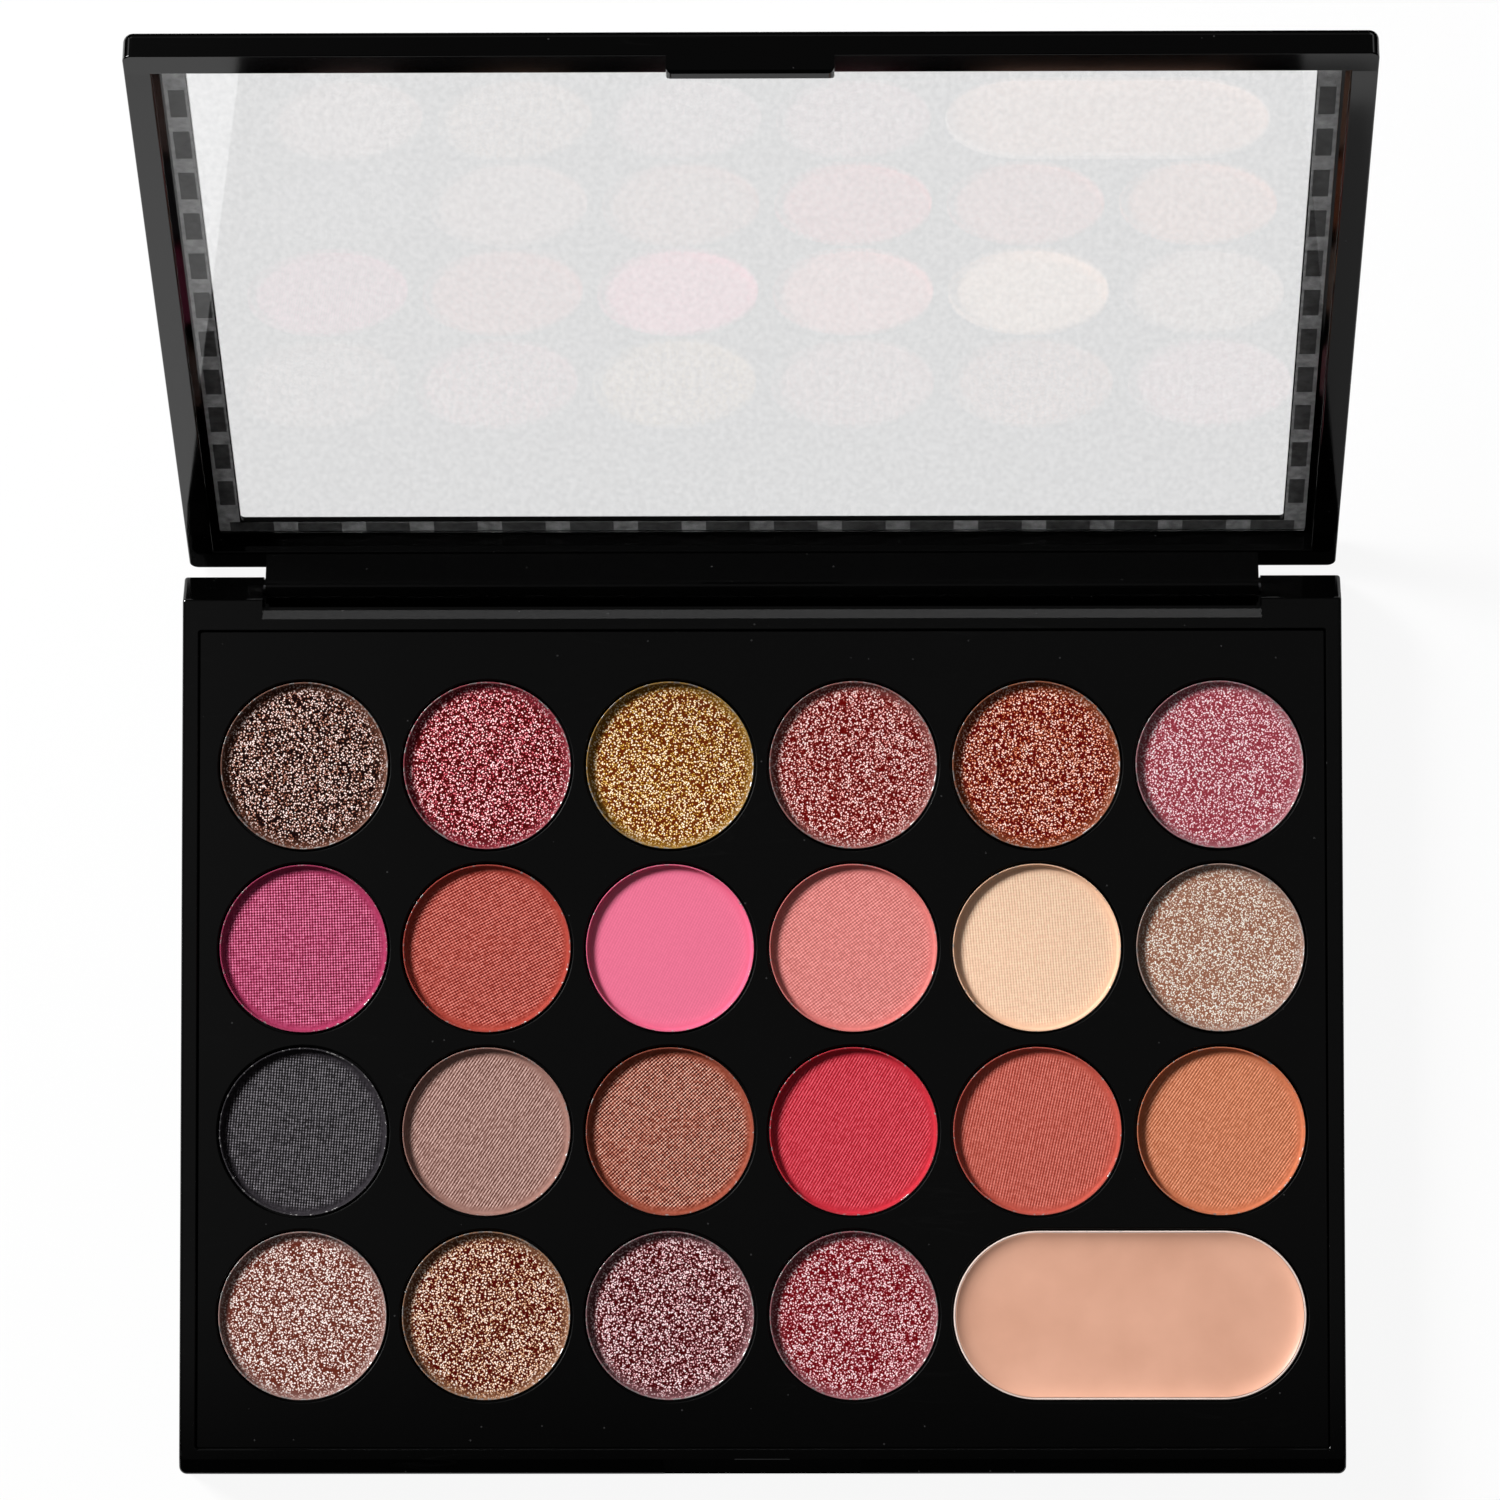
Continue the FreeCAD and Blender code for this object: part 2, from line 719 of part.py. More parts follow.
def draw_tongue(sketch, top):
    """The tongue's side: a plate that runs into a knuckle round the hinge axis, cut flush at the rear."""
    front = -size.knuckle_radius
    rear_drop = square_root(size.knuckle_radius * size.knuckle_radius - lid_rear * lid_rear)
    end = math.atan2(-rear_drop.value, lid_rear.value) + 2 * math.pi
    whole = Part.Circle(FreeCAD.Vector(0, 0, 0), FreeCAD.Vector(0, 0, 1), size.knuckle_radius.value)
    knuckle = sketch.addGeometry(Part.ArcOfCircle(whole, math.pi, end))
    corners = [(lid_rear, -rear_drop), (lid_rear, top), (front, top), (front, as_size(0))]
    places = [FreeCAD.Vector(x.value, y.value, 0) for x, y in corners]
    rear, across, inner = [sketch.addGeometry(Part.LineSegment(a, b)) for a, b in zip(places, places[1:])]
    for first, second in ((knuckle, rear), (rear, across), (across, inner)):
        sketch.addConstraint(Sketcher.Constraint("Coincident", first, 2, second, 1))
    sketch.addConstraint(Sketcher.Constraint("Tangent", inner, 2, knuckle, 1))
    sketch.addConstraint(Sketcher.Constraint("Coincident", knuckle, 3, -1, 1))
    set_radius(sketch, knuckle, size.knuckle_radius)
    sketch.addConstraint(Sketcher.Constraint("Vertical", rear))
    sketch.addConstraint(Sketcher.Constraint("Horizontal", across))
    sketch.addConstraint(Sketcher.Constraint("Vertical", inner))
    pin_point(sketch, rear, 2, lid_rear, top)


def make_lid_window():
    """The clear pane, laid into the lid from inside."""
    body = new_body("lid_window")
    plan = new_sketch(body, "PanePlan", "XY_Plane", pane_low)
    draw_rectangle(plan, -pane_half_width, pane_half_width, pane_front, pane_rear)
    new_feature(body, "Pad", "Pane", plan, size.window_thickness)
    dress_edges(body, "Fillet", "PaneCorners", size.window_corner_round, lambda edge: runs_along(edge, "z"))
    open_with_lid(body)
    return body


def spread(low, high):
    """Middles of the bond pads along one side, evenly about its middle."""
    count = int((high - low - sheet.bond_length) // sheet.bond_pitch) + 1
    middle = (low + high) / 2
    return [middle + (number - (count - 1) / 2) * sheet.bond_pitch for number in range(count)]


def make_bond_pads():
    """The row of adhesive pads that holds the pane to the lid's inner ledge."""
    level = pane_low.value + sheet.window_thickness
    half = pane_half_width.value
    front = pane_front.value
    rear = pane_rear.value
    boxes = []
    for x in spread(-half, half):
        for y in (front + sheet.ledge_front / 2, rear - sheet.ledge_rear / 2):
            boxes.append((x, y, sheet.bond_length, sheet.bond_width))
    for y in spread(front + sheet.ledge_front, rear - sheet.ledge_rear):
        for x in (-half + sheet.ledge_side / 2, half - sheet.ledge_side / 2):
            boxes.append((x, y, sheet.bond_width, sheet.bond_length))
    pads = []
    for x, y, across, along in boxes:
        corner = FreeCAD.Vector(x - across / 2, y - along / 2, level)
        pads.append(Part.makeBox(across, along, sheet.bond_thickness, corner))
    made = doc.addObject("Part::Feature", "window_bond_pads")
    made.Label = "window_bond_pads"
    made.Shape = Part.makeCompound(pads)
    open_with_lid(made)
    return made


def make_hinge_pin(label, side):
    """A short steel pin, gripped by one ear, on which that end of the tongue turns."""
    body = new_body(label)
    outer_end = base_width / 2 - size.pin_sunk
    inner_end = tongue_length / 2 - size.pin_reach
    round_end = new_sketch(body, "PinEnd", "YZ_Plane", side * inner_end)
    draw_circle(round_end, 0, 0, size.pin_radius)
    new_feature(body, "Pad", "PinRod", round_end, outer_end - inner_end, reversed_way=side < 0)
    dress_edges(body, "Chamfer", "PinEnds", size.pin_chamfer, lambda edge: not runs_along(edge, "x"))
    bind(body, "Placement.Base.y", hinge_y)
    bind(body, "Placement.Base.z", hinge_z)
    return body


pieces = [make_base_tray(), make_pan_deck(), make_glue_dots()]
for row, column, x, y in pan_places():
    pieces.append(make_round_pan("pan_row%d_col%d" % (row, column), x, y))
    pieces.append(make_powder("powder_row%d_col%d" % (row, column), x, y))
pieces += [make_long_pan(), make_cream()]
pieces += [make_lid_frame(), make_lid_window(), make_bond_pads()]
pieces += [make_hinge_pin("hinge_pin_right", 1), make_hinge_pin("hinge_pin_left", -1)]
doc.recompute()

for item in doc.Objects:
    if "Invalid" in item.State or "Error" in item.State:
        raise RuntimeError("%s failed: %s" % (item.Label, item.State))
for piece in pieces:
    if piece.Shape.isNull() or not piece.Shape.isValid():
        raise RuntimeError("%s has no valid shape" % piece.Label)

os.makedirs("parts", exist_ok=True)
for piece in pieces:
    piece.Shape.exportStep("parts/%s.step" % piece.Label)
    print(piece.Label, len(piece.Shape.Solids), round(piece.Shape.Volume, 2))
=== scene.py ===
import json
import math

import bmesh
import bpy
from mathutils import Matrix, Vector, noise


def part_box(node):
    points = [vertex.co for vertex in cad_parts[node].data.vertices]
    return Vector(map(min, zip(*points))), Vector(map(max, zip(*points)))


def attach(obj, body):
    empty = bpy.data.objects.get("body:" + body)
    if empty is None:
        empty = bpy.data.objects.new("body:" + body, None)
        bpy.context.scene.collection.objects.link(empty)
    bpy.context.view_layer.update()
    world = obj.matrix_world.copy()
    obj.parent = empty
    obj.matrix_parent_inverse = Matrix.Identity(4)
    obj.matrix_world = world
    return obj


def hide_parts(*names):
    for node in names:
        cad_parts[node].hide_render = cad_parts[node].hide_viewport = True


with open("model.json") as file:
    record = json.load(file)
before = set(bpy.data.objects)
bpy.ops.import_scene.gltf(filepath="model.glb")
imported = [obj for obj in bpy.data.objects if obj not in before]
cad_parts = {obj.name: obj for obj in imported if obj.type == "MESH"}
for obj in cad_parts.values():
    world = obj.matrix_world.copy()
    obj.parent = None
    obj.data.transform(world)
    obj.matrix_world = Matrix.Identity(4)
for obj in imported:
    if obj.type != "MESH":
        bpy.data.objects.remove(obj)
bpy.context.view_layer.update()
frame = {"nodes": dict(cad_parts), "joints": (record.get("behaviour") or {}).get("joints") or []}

# Base tray: the lower half of the case, injection-moulded in glossy black plastic.
# It stands on its flat underside, and handling has left dust and hairline scratches on it.
MM = 0.001
SPECK_SCALE = 420.0
SPECK_REACH = 0.06
SPECK_CHANCE = 0.62
SCRATCH_SCALE = 28.0
SCRATCH_TURN = 0.6
SCRATCH_STRETCH = 9
SCRATCH_WIDTH = 0.006
WORN_SCALE = 45.0
WORN_BAND = (0.52, 0.68)
DUST_GREY = 0.06
DUST_COVER = 0.5
SCRATCH_COVER = 0.02
GLOSS_CLOUD_SCALE = 60.0
GLOSS_SPREAD = (0.85, 1.2)
MOULD_GRAIN_STRENGTH = 0.35


def join_inputs(tree, node, inputs):
    """Set each input of a node to a value, or link it to another node's socket."""
    for name, value in inputs.items():
        if isinstance(value, bpy.types.NodeSocket):
            tree.links.new(value, node.inputs[name])
        else:
            node.inputs[name].default_value = value


def add_node(tree, kind, inputs=None, **settings):
    """A shader node with its settings and its inputs."""
    made = tree.nodes.new("ShaderNode" + kind)
    for name, value in settings.items():
        setattr(made, name, value)
    join_inputs(tree, made, inputs or {})
    return made


def add_math(tree, operation, first, second=None):
    inputs = {0: first}
    if second is not None:
        inputs[1] = second
    return add_node(tree, "Math", inputs, operation=operation).outputs[0]


def add_vector(tree, operation, first, second=None, **extra):
    inputs = {0: first, **extra}
    if second is not None:
        inputs[1] = second
    return add_node(tree, "VectorMath", inputs, operation=operation).outputs[0]


def mix_colours(tree, factor, first, second):
    """A mix of two colours. The node's sockets 6, 7 and 2 are its colours in and its colour out."""
    inputs = {"Factor": factor, 6: first, 7: second}
    return add_node(tree, "Mix", inputs, data_type="RGBA").outputs[2]


def remap(tree, value, low, high, new_low=0.0, new_high=1.0):
    inputs = {
        "Value": value, "From Min": low, "From Max": high, "To Min": new_low, "To Max": new_high,
    }
    return add_node(tree, "MapRange", inputs).outputs["Result"]


def add_noise(tree, place, scale, detail, **extra):
    inputs = {"Vector": place, "Scale": scale, "Detail": detail, **extra}
    return add_node(tree, "TexNoise", inputs).outputs


def noise_band(tree, place, scale, detail, band=(0.3, 0.7), ends=(0.0, 1.0)):
    """Noise over the surface, with one band of its values spread out between two ends."""
    return remap(tree, add_noise(tree, place, scale, detail)["Fac"], *band, *ends)


def start_material(name):
    """A new material with its node tree, its shader and the object's own coordinates."""
    made = bpy.data.materials.new(name)
    made.use_nodes = True
    tree = made.node_tree
    place = add_node(tree, "TexCoord").outputs["Object"]
    return made, tree, tree.nodes["Principled BSDF"], place


def start_group(name, inputs, outputs):
    """A shader node group with its sockets, and its input and output nodes."""
    group = bpy.data.node_groups.new(name, "ShaderNodeTree")
    for label, kind in inputs:
        group.interface.new_socket(label, in_out="INPUT", socket_type="NodeSocket" + kind)
    for label, kind in outputs:
        group.interface.new_socket(label, in_out="OUTPUT", socket_type="NodeSocket" + kind)
    entry = group.nodes.new("NodeGroupInput")
    leave = group.nodes.new("NodeGroupOutput")
    return group, entry.outputs, leave


def place_group(tree, group, inputs):
    made = tree.nodes.new("ShaderNodeGroup")
    made.node_tree = group
    join_inputs(tree, made, inputs)
    return made.outputs


def grey(level):
    return (level, level, level, 1.0)


def build_handling_marks():
    """Dust specks and hairline scratches, as two masks."""
    inputs = [("Place", "Vector"), ("Speck Scale", "Float"), ("Scratch Scale", "Float")]
    outputs = [("Specks", "Float"), ("Scratches", "Float")]
    group, entry, leave = start_group("handling_marks", inputs, outputs)
    cells = add_node(group, "TexVoronoi", {"Vector": entry["Place"], "Scale": entry["Speck Scale"]})
    small = add_math(group, "LESS_THAN", cells.outputs["Distance"], SPECK_REACH)
    chosen = add_math(group, "GREATER_THAN", cells.outputs["Color"], SPECK_CHANCE)
    specks = add_math(group, "MULTIPLY", small, chosen)
    stretched = add_node(group, "Mapping", {
        "Vector": entry["Place"],
        "Rotation": (0, 0, SCRATCH_TURN),
        "Scale": (1, SCRATCH_STRETCH, 1),
    })
    strands = add_noise(
        group, stretched.outputs[0], entry["Scratch Scale"], detail=2.0, Roughness=0.4
    )
    offset = add_math(group, "ABSOLUTE", add_math(group, "SUBTRACT", strands["Fac"], 0.5))
    thin = remap(group, offset, 0.0, SCRATCH_WIDTH, 1.0, 0.0)
    worn = noise_band(group, entry["Place"], WORN_SCALE, detail=1.0, band=WORN_BAND)
    group.links.new(specks, leave.inputs["Specks"])
    group.links.new(add_math(group, "MULTIPLY", thin, worn), leave.inputs["Scratches"])
    return group


handling_marks = build_handling_marks()


def black_plastic(name, depth, gloss, grain_scale, grain_height, shine=0.5):
    """Moulded black plastic: a fine mould grain under dust and hairline scratches."""
    made, tree, shader, place = start_material(name)
    marks = place_group(tree, handling_marks, {
        "Place": place, "Speck Scale": SPECK_SCALE, "Scratch Scale": SCRATCH_SCALE,
    })
    dirt = add_math(tree, "MULTIPLY", marks["Specks"], DUST_COVER)
    scuffs = add_math(tree, "MULTIPLY", marks["Scratches"], SCRATCH_COVER)
    colour = mix_colours(tree, add_math(tree, "ADD", dirt, scuffs), grey(depth), grey(DUST_GREY))
    gloss_ends = [gloss * share for share in GLOSS_SPREAD]
    rough = noise_band(tree, place, GLOSS_CLOUD_SCALE, detail=3.0, ends=gloss_ends)
    rough = add_math(tree, "ADD", rough, scuffs)
    grain = add_noise(tree, place, grain_scale, detail=2.0)["Fac"]
    bump = add_node(tree, "Bump", {
        "Height": grain, "Strength": MOULD_GRAIN_STRENGTH, "Distance": grain_height,
    })
    join_inputs(tree, shader, {
        "Base Color": colour, "Roughness": rough, "Specular IOR Level": shine,
        "Normal": bump.outputs[0],
    })
    return made


def dress(node, material):
    """Give a carried-over node its material."""
    slots = frame["nodes"][node].data.materials
    slots.clear()
    slots.append(material)


gloss_black = black_plastic(
    "gloss_black_plastic", depth=0.0006, gloss=0.05, grain_scale=900.0, grain_height=0.0006 * MM
)
dress("base_tray", gloss_black)

# Pan deck: the insert with a well for each pan, moulded in black plastic with a polished face.
# The walls of its wells keep the dull finish of the mould. It drops in and stands on ribs.
LEVEL_FACE = 0.99
JOINING = 0.001 * MM
DECK_MOULD = {"depth": 0.0004, "grain_scale": 5200.0, "grain_height": 0.0015 * MM}


def copy_node(node):
    """A node's mesh with its loose triangles joined."""
    shape = bmesh.new()
    shape.from_mesh(frame["nodes"][node].data)
    bmesh.ops.remove_doubles(shape, verts=shape.verts, dist=JOINING)
    shape.normal_update()
    return shape


def finish_piece(shape, name, node, body="base", smooth=True):
    """Make the mesh an object that rides on a body and stands for a node."""
    mesh = bpy.data.meshes.new(name)
    shape.to_mesh(mesh)
    shape.free()
    for face in mesh.polygons:
        face.use_smooth = smooth
    piece = bpy.data.objects.new(name, mesh)
    bpy.context.scene.collection.objects.link(piece)
    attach(piece, body)
    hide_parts(node)
    return piece


shape = copy_node("pan_deck")
for face in shape.faces:
    face.material_index = 0 if face.normal.z > LEVEL_FACE else 1
deck = finish_piece(shape, "deck_moulding", "pan_deck", smooth=False)
polished_black = black_plastic("polished_black_plastic", gloss=0.09, **DECK_MOULD)
dull_black = black_plastic("dull_black_plastic", gloss=0.45, shine=0.12, **DECK_MOULD)
deck.data.materials.append(polished_black)
deck.data.materials.append(dull_black)

# Glue dots: one dab of clear-yellow hot glue under each pan, pressed flat.
# They are hidden once the pans are in.
GLUE_DARK = (0.42, 0.36, 0.24, 1.0)
GLUE_PALE = (0.62, 0.56, 0.42, 1.0)
GLUE_SCALE = 700.0
glue, tree, shader, place = start_material("pan_glue")
mottle = add_noise(tree, place, GLUE_SCALE, detail=3.0)["Fac"]
glue_colour = mix_colours(tree, mottle, GLUE_DARK, GLUE_PALE)
join_inputs(tree, shader, {"Base Color": glue_colour, "Roughness": 0.35})
dress("pan_glue_dots", glue)

# Powders: cakes of pressed pigment, each stamped into its pan through cloth or loose as glitter.
# Loose pigment clings to the pan's wall above the cake. The darker edge tone there is partly that
# pigment and partly painted shade.


def linear(shade):
    """A shade given in display values from 0 to 255 as a linear colour."""
    parts = [min(255, max(0, part)) / 255 for part in shade]
    return tuple(
        part / 12.92 if part <= 0.04045 else ((part + 0.055) / 1.055) ** 2.4 for part in parts
    ) + (1.0,)


def lighter(shade, amount):
    return tuple(part + amount for part in shade)


def settled(pigment):
    """How a glitter looks from afar: the pigment with the white of its flakes' painted glints mixed
    in.
    """
    return tuple(0.5 * part + 50 for part in pigment)


def deeper(shade):
    """The same shade packed denser: darker and more saturated. By the pan's wall it is also painted
    shade.
    """
    most = max(shade)
    return tuple(0.92 * part - 0.1 * (most - part) for part in shade)


# Each glitter and shimmer has a name, its pigment and its contrast. Each woven cake has a name, its
# shade and contrast, the turn of the cloth in degrees and the share of the cross threads.
GLITTERS = {
    "row1_col1": ("taupe_bronze", (136, 65, 38), 1.0),
    "row1_col2": ("cranberry", (191, 34, 54), 1.0),
    "row1_col3": ("gold", (216, 149, 22), 0.97),
    "row1_col4": ("mauve_rose", (213, 107, 98), 0.93),
    "row1_col5": ("copper", (208, 91, 36), 0.92),
    "row1_col6": ("pink_glitter", (249, 146, 159), 0.8),
    "row4_col1": ("blush", (220, 160, 147), 1.0),
    "row4_col2": ("bronze", (208, 134, 83), 1.08),
    "row4_col3": ("mauve_lilac", (189, 116, 123), 1.0),
    "row4_col4": ("raspberry", (224, 112, 124), 0.93),
}
SHIMMERS = {
    "row2_col6": ("champagne_rose", (248, 194, 171), 0.78),
}
WOVEN = {
    "row2_col1": ("plum", (165, 56, 94), 76, 2, 0.9),
    "row2_col2": ("terracotta", (168, 70, 58), 66, 118, 0.5),
    "row2_col3": ("hot_pink", (233, 113, 145), 6, 153, 0.3),
    "row2_col4": ("salmon_pink", (217, 128, 123), 35, 127, 0.5),
    "row2_col5": ("ivory", (247, 204, 173), 23, 5, 0.3),
    "row3_col1": ("charcoal", (38, 34, 39), 90, 175, 0.6),
    "row3_col2": ("greige", (156, 118, 108), 60, 146, 0.15),
    "row3_col3": ("mid_brown", (152, 78, 58), 112, 132, 0.5),
    "row3_col4": ("red", (199, 50, 66), 42, 149, 0.15),
    "row3_col5": ("brick_coral", (191, 90, 76), 40, 167, 0.25),
    "row3_col6": ("caramel", (206, 125, 90), 42, 145, 0.25),
}
WEAVE_PITCH = 0.428 * MM
WEAVE_DRIFT = 0.12 * MM
DRIFT_SCALE = 260.0
WIPE_SCALE = 150.0
BEAD_SCALE = 2000.0
CROSSED_HEIGHT = 1.5


def reach_out(tree, centred):
    """How far a point lies from the upright axis through the pattern's middle."""
    flat = add_vector(tree, "MULTIPLY", centred, (1, 1, 0))
    return add_node(tree, "VectorMath", {0: flat}, operation="LENGTH").outputs["Value"]


def build_cloth_stamp():
    """The print of the pressing cloth: crossed threads that fade out towards the pan's wall."""
    inputs = [
        ("Place", "Vector"), ("Pitch", "Float"), ("Turn", "Float"), ("Cross", "Float"),
        ("Fade Start", "Float"), ("Fade End", "Float"),
    ]
    group, entry, leave = start_group("cloth_stamp", inputs, [("Threads", "Float")])
    drift = add_noise(group, entry["Place"], DRIFT_SCALE, detail=2.0)["Color"]
    centred = add_vector(group, "SUBTRACT", drift, (0.5, 0.5, 0.5))
    sway = add_vector(group, "SCALE", centred, Scale=WEAVE_DRIFT)
    wavy = add_vector(group, "ADD", entry["Place"], sway)
    turned = add_node(
        group, "VectorRotate", {"Vector": wavy, "Angle": entry["Turn"]},
        rotation_type="Z_AXIS", invert=True,
    )
    along = add_node(group, "SeparateXYZ", {0: turned.outputs[0]})
    waves = []
    for axis in ("X", "Y"):
        turns = add_math(group, "DIVIDE", along.outputs[axis], entry["Pitch"])
        waves.append(add_math(group, "COSINE", add_math(group, "MULTIPLY", turns, math.tau)))
    across = add_math(group, "MULTIPLY", waves[1], entry["Cross"])
    crossed = add_math(group, "ADD", waves[0], across)
    most = remap(group, entry["Cross"], 0.0, 1.0, 1.0, CROSSED_HEIGHT)
    even = add_math(group, "DIVIDE", crossed, most)
    reach = reach_out(group, entry["Place"])
    kept = remap(group, reach, entry["Fade Start"], entry["Fade End"], 1.0, 0.0)
    beads = noise_band(group, entry["Place"], BEAD_SCALE, detail=1.0, ends=(0.5, 1.5))
    wiped = noise_band(
        group, entry["Place"], WIPE_SCALE, detail=1.0, band=(0.3, 0.55), ends=(0.75, 1.0)
    )
    kept = add_math(group, "MULTIPLY", kept, beads)
    strength = add_math(group, "MULTIPLY", kept, wiped)
    group.links.new(add_math(group, "MULTIPLY", even, strength), leave.inputs["Threads"])
    return group


# Each layer of flakes has a share of the flake scale, and a shift that keeps it off the other.
FLAKE_LAYERS = ((0.84, 0.0), (1.0, 170 * MM))
FLAKE_CORE = 0.14
FLAKE_EDGE = 0.7
FLAKE_TILT = 0.1


def build_flakes():
    """Two layers of loose flakes on dark pigment, each flake with a brightness and a tilt; the
    brightest take the painted glints.
    """
    inputs = [("Place", "Vector"), ("Flake Scale", "Float"), ("Tilt", "Float")]
    outputs = [("Brightness", "Float"), ("Normal", "Vector")]
    group, entry, leave = start_group("flakes", inputs, outputs)
    brightness = 0.0
    for share, shift in FLAKE_LAYERS:
        scale = add_math(group, "MULTIPLY", entry["Flake Scale"], share)
        moved = add_vector(group, "ADD", entry["Place"], (shift, shift, 0))
        cells = add_node(
            group, "TexVoronoi", {"Vector": moved, "Scale": scale}, voronoi_dimensions="2D"
        )
        core = remap(group, cells.outputs["Distance"], FLAKE_CORE, FLAKE_EDGE, 1.0, 0.0)
        own = add_node(group, "SeparateXYZ", {0: cells.outputs["Color"]}).outputs["Z"]
        brightness = add_math(group, "MAXIMUM", add_math(group, "MULTIPLY", core, own), brightness)
    centred = add_vector(group, "SUBTRACT", cells.outputs["Color"], (0.5, 0.5, 0.5))
    tilt = add_vector(group, "SCALE", centred, Scale=entry["Tilt"])
    face = add_node(group, "NewGeometry").outputs["Normal"]
    leaned = add_vector(group, "NORMALIZE", add_vector(group, "ADD", face, tilt))
    group.links.new(brightness, leave.inputs["Brightness"])
    group.links.new(leaned, leave.inputs["Normal"])
    return group


cloth_stamp = build_cloth_stamp()
flakes = build_flakes()


def pan_middle(node):
    low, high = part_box(node)
    return (Vector(low) + Vector(high)) / 2


def centre_pattern(tree, place, middle):
    back = (-middle.x, -middle.y, -middle.z)
    return add_node(tree, "Mapping", {"Vector": place, "Location": back}).outputs[0]


def set_stops(ramp, shade, contrast, stops):
    """Tones of one shade along a colour ramp, as steps lighter or darker than the shade."""
    while len(ramp.color_ramp.elements) < len(stops):
        ramp.color_ramp.elements.new(0.5)
    for stop, (where, step) in zip(ramp.color_ramp.elements, stops):
        stop.position = where
        stop.color = linear(lighter(shade, step * contrast))


WALL_EDGE = 0.1 * MM


def cling_and_shade_share(tree, centred, radius, width, cover):
    """How much of a point takes the darker edge tone, clinging pigment and painted shade: none on
    the cake, most at the pan's wall.
    """
    share = remap(tree, reach_out(tree, centred), radius - width, radius - WALL_EDGE)
    return add_math(tree, "MULTIPLY", share, cover)


# Along each ramp of tones, a place and a step in display values, or in shares of the contrast.
# The glitter's top tones run to white: painted glints of the flakes.
GLITTER_TONES_AND_PAINTED_GLINTS = ((0.0, -124), (0.387, -113), (0.597, 60), (0.789, 388))
CLOTH_TONES = ((0.0, -1.0), (0.3, -0.5), (0.5, 0.0), (0.75, 0.55), (1.0, 1.15))
GLITTER_CLING_AND_SHADE = {"width": 1.5 * MM, "cover": 0.7}
CLOTH_CLING_AND_SHADE = {"width": 1.1 * MM, "cover": 0.8}
CLING_AND_SHADE_STEP = -30
GLINT_BAND = (0.75, 0.95)
GLINT_METAL = 0.2
PRINT_FADE_START = 1.2 * MM
PRINT_FADE_END = 0.3 * MM
SPECKLE_SCALE = 1800.0
SPECKLE = 0.3
THREAD_RELIEF = 0.03 * MM
FULL_RELIEF_CONTRAST = 90


def glitter_powder(name, pigment, contrast, middle, radius, flake_scale):
    """Coarse flakes from a deep tone to near white; the near-white tones are painted glints."""
    made, tree, shader, place = start_material(name)
    centred = centre_pattern(tree, place, middle)
    grains = place_group(tree, flakes, {
        "Place": place, "Flake Scale": flake_scale, "Tilt": FLAKE_TILT,
    })
    ramp = add_node(tree, "ValToRGB", {"Fac": grains["Brightness"]})
    set_stops(ramp, pigment, contrast, GLITTER_TONES_AND_PAINTED_GLINTS)
    # Darker tone at the cake's edge: clinging pigment and painted shade by the wall.
    wall = cling_and_shade_share(tree, centred, radius, **GLITTER_CLING_AND_SHADE)
    cling_and_shade_colour = linear(lighter(settled(pigment), CLING_AND_SHADE_STEP))
    colour = mix_colours(tree, wall, ramp.outputs["Color"], cling_and_shade_colour)
    join_inputs(tree, shader, {
        "Base Color": colour, "Roughness": 0.42, "Specular IOR Level": 0.08,
        "Normal": grains["Normal"],
        "Metallic": remap(tree, grains["Brightness"], *GLINT_BAND, 0.0, GLINT_METAL),
    })
    return made


def woven_powder(name, shade, contrast, turn, cross, middle, radius):
    """Soft matte pigment that carries the print of the pressing cloth."""
    made, tree, shader, place = start_material(name)
    centred = centre_pattern(tree, place, middle)
    threads = place_group(tree, cloth_stamp, {
        "Place": centred, "Pitch": WEAVE_PITCH, "Turn": math.radians(turn), "Cross": cross,
        "Fade Start": radius - PRINT_FADE_START, "Fade End": radius - PRINT_FADE_END,
    })["Threads"]
    speckle = noise_band(tree, centred, SPECKLE_SCALE, detail=2.0, ends=(-SPECKLE, SPECKLE))
    level = add_math(tree, "ADD", threads, speckle)
    ramp = add_node(tree, "ValToRGB", {"Fac": remap(tree, level, -1.0, 1.0)})
    set_stops(ramp, shade, contrast, CLOTH_TONES)
    # Darker tone at the cake's edge: clinging pigment and painted shade by the wall.
    wall = cling_and_shade_share(tree, centred, radius, **CLOTH_CLING_AND_SHADE)
    colour = mix_colours(tree, wall, ramp.outputs["Color"], linear(deeper(shade)))
    depth = min(1.0, contrast / FULL_RELIEF_CONTRAST)
    bump = add_node(
        tree, "Bump", {"Height": threads, "Strength": depth, "Distance": THREAD_RELIEF}
    )
    join_inputs(tree, shader, {
        "Base Color": colour, "Roughness": 0.85, "Specular IOR Level": 0.2,
        "Normal": bump.outputs[0],
    })
    return made


TURN_STEPS = 112


def turn_profile(profile, middle):
    """A closed shape turned about an upright axis from points given as reach and height."""
    shape = bmesh.new()
    points = [shape.verts.new((middle.x + across, middle.y, up)) for across, up in profile]
    lines = [shape.edges.new(pair) for pair in zip(points, points[1:])]
    bmesh.ops.spin(
        shape, geom=points + lines, cent=(middle.x, middle.y, 0), axis=(0, 0, 1),
        angle=math.tau, steps=TURN_STEPS, use_merge=True,
    )
    bmesh.ops.remove_doubles(shape, verts=shape.verts, dist=JOINING)
    bmesh.ops.recalc_face_normals(shape, faces=shape.faces)
    return shape


